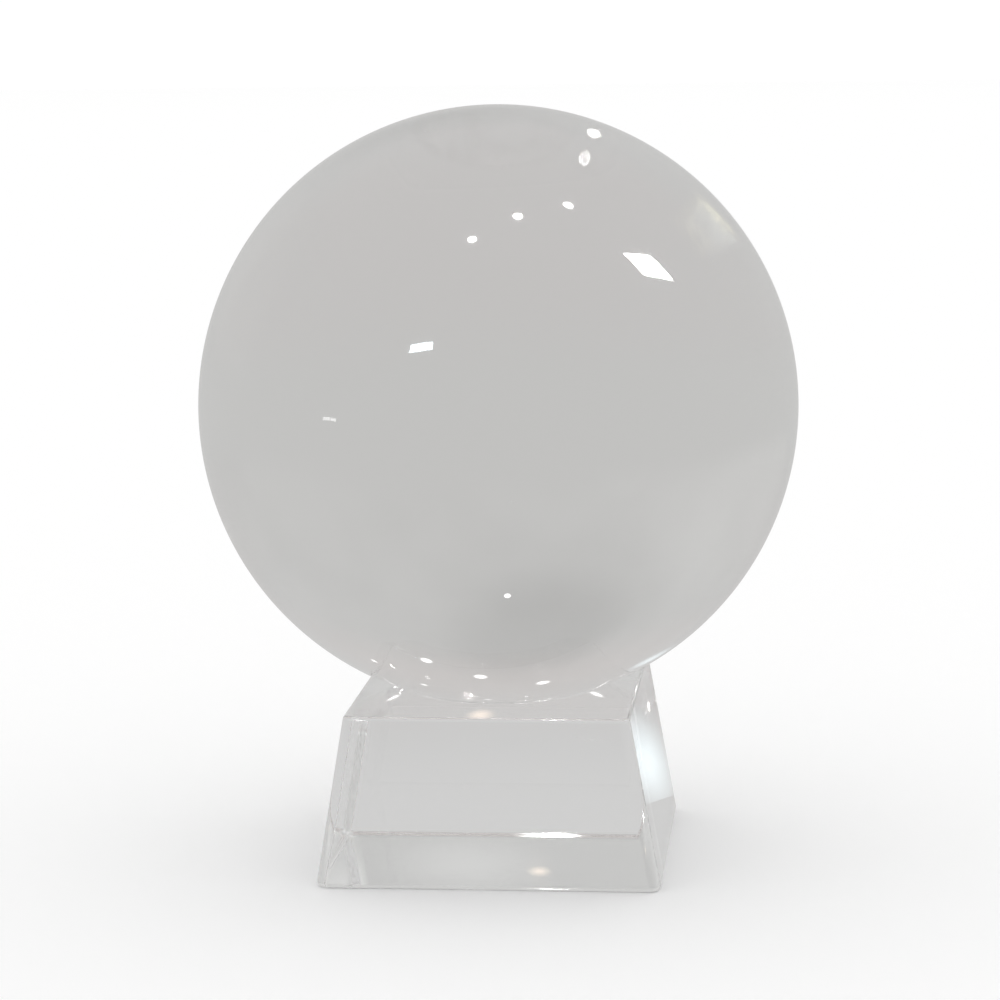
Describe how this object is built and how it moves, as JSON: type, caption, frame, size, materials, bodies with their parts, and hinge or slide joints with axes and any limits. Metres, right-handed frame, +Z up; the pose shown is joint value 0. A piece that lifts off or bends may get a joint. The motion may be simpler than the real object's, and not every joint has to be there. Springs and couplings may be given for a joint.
{
  "type": "crystal ball",
  "caption": "Solid clear glass ball that rests in a shallow seat ground into the top of a clear glass block with two leaning sides, and lifts straight off.",
  "frame": {"origin": "centre of the stand's underside, on the surface it stands on", "axes": "+Z up through the centre of the ball, X and Y square to the stand's sides"},
  "size_m": [0.1, 0.1, 0.1259],
  "materials": {
    "ball_glass": "optically clear crystal glass, polished all over",
    "stand_glass": "clear crystal glass, polished faces with softened edges"
  },
  "bodies": {
    "root": {"stand": "stand_glass"},
    "ball": {"crystal_ball": "ball_glass"}
  },
  "joints": [
    {"name": "ball_lift", "type": "slide", "parent": "root", "child": "ball", "axis": [0, 0, 1], "range_m": [0, 0.1]}
  ]
}
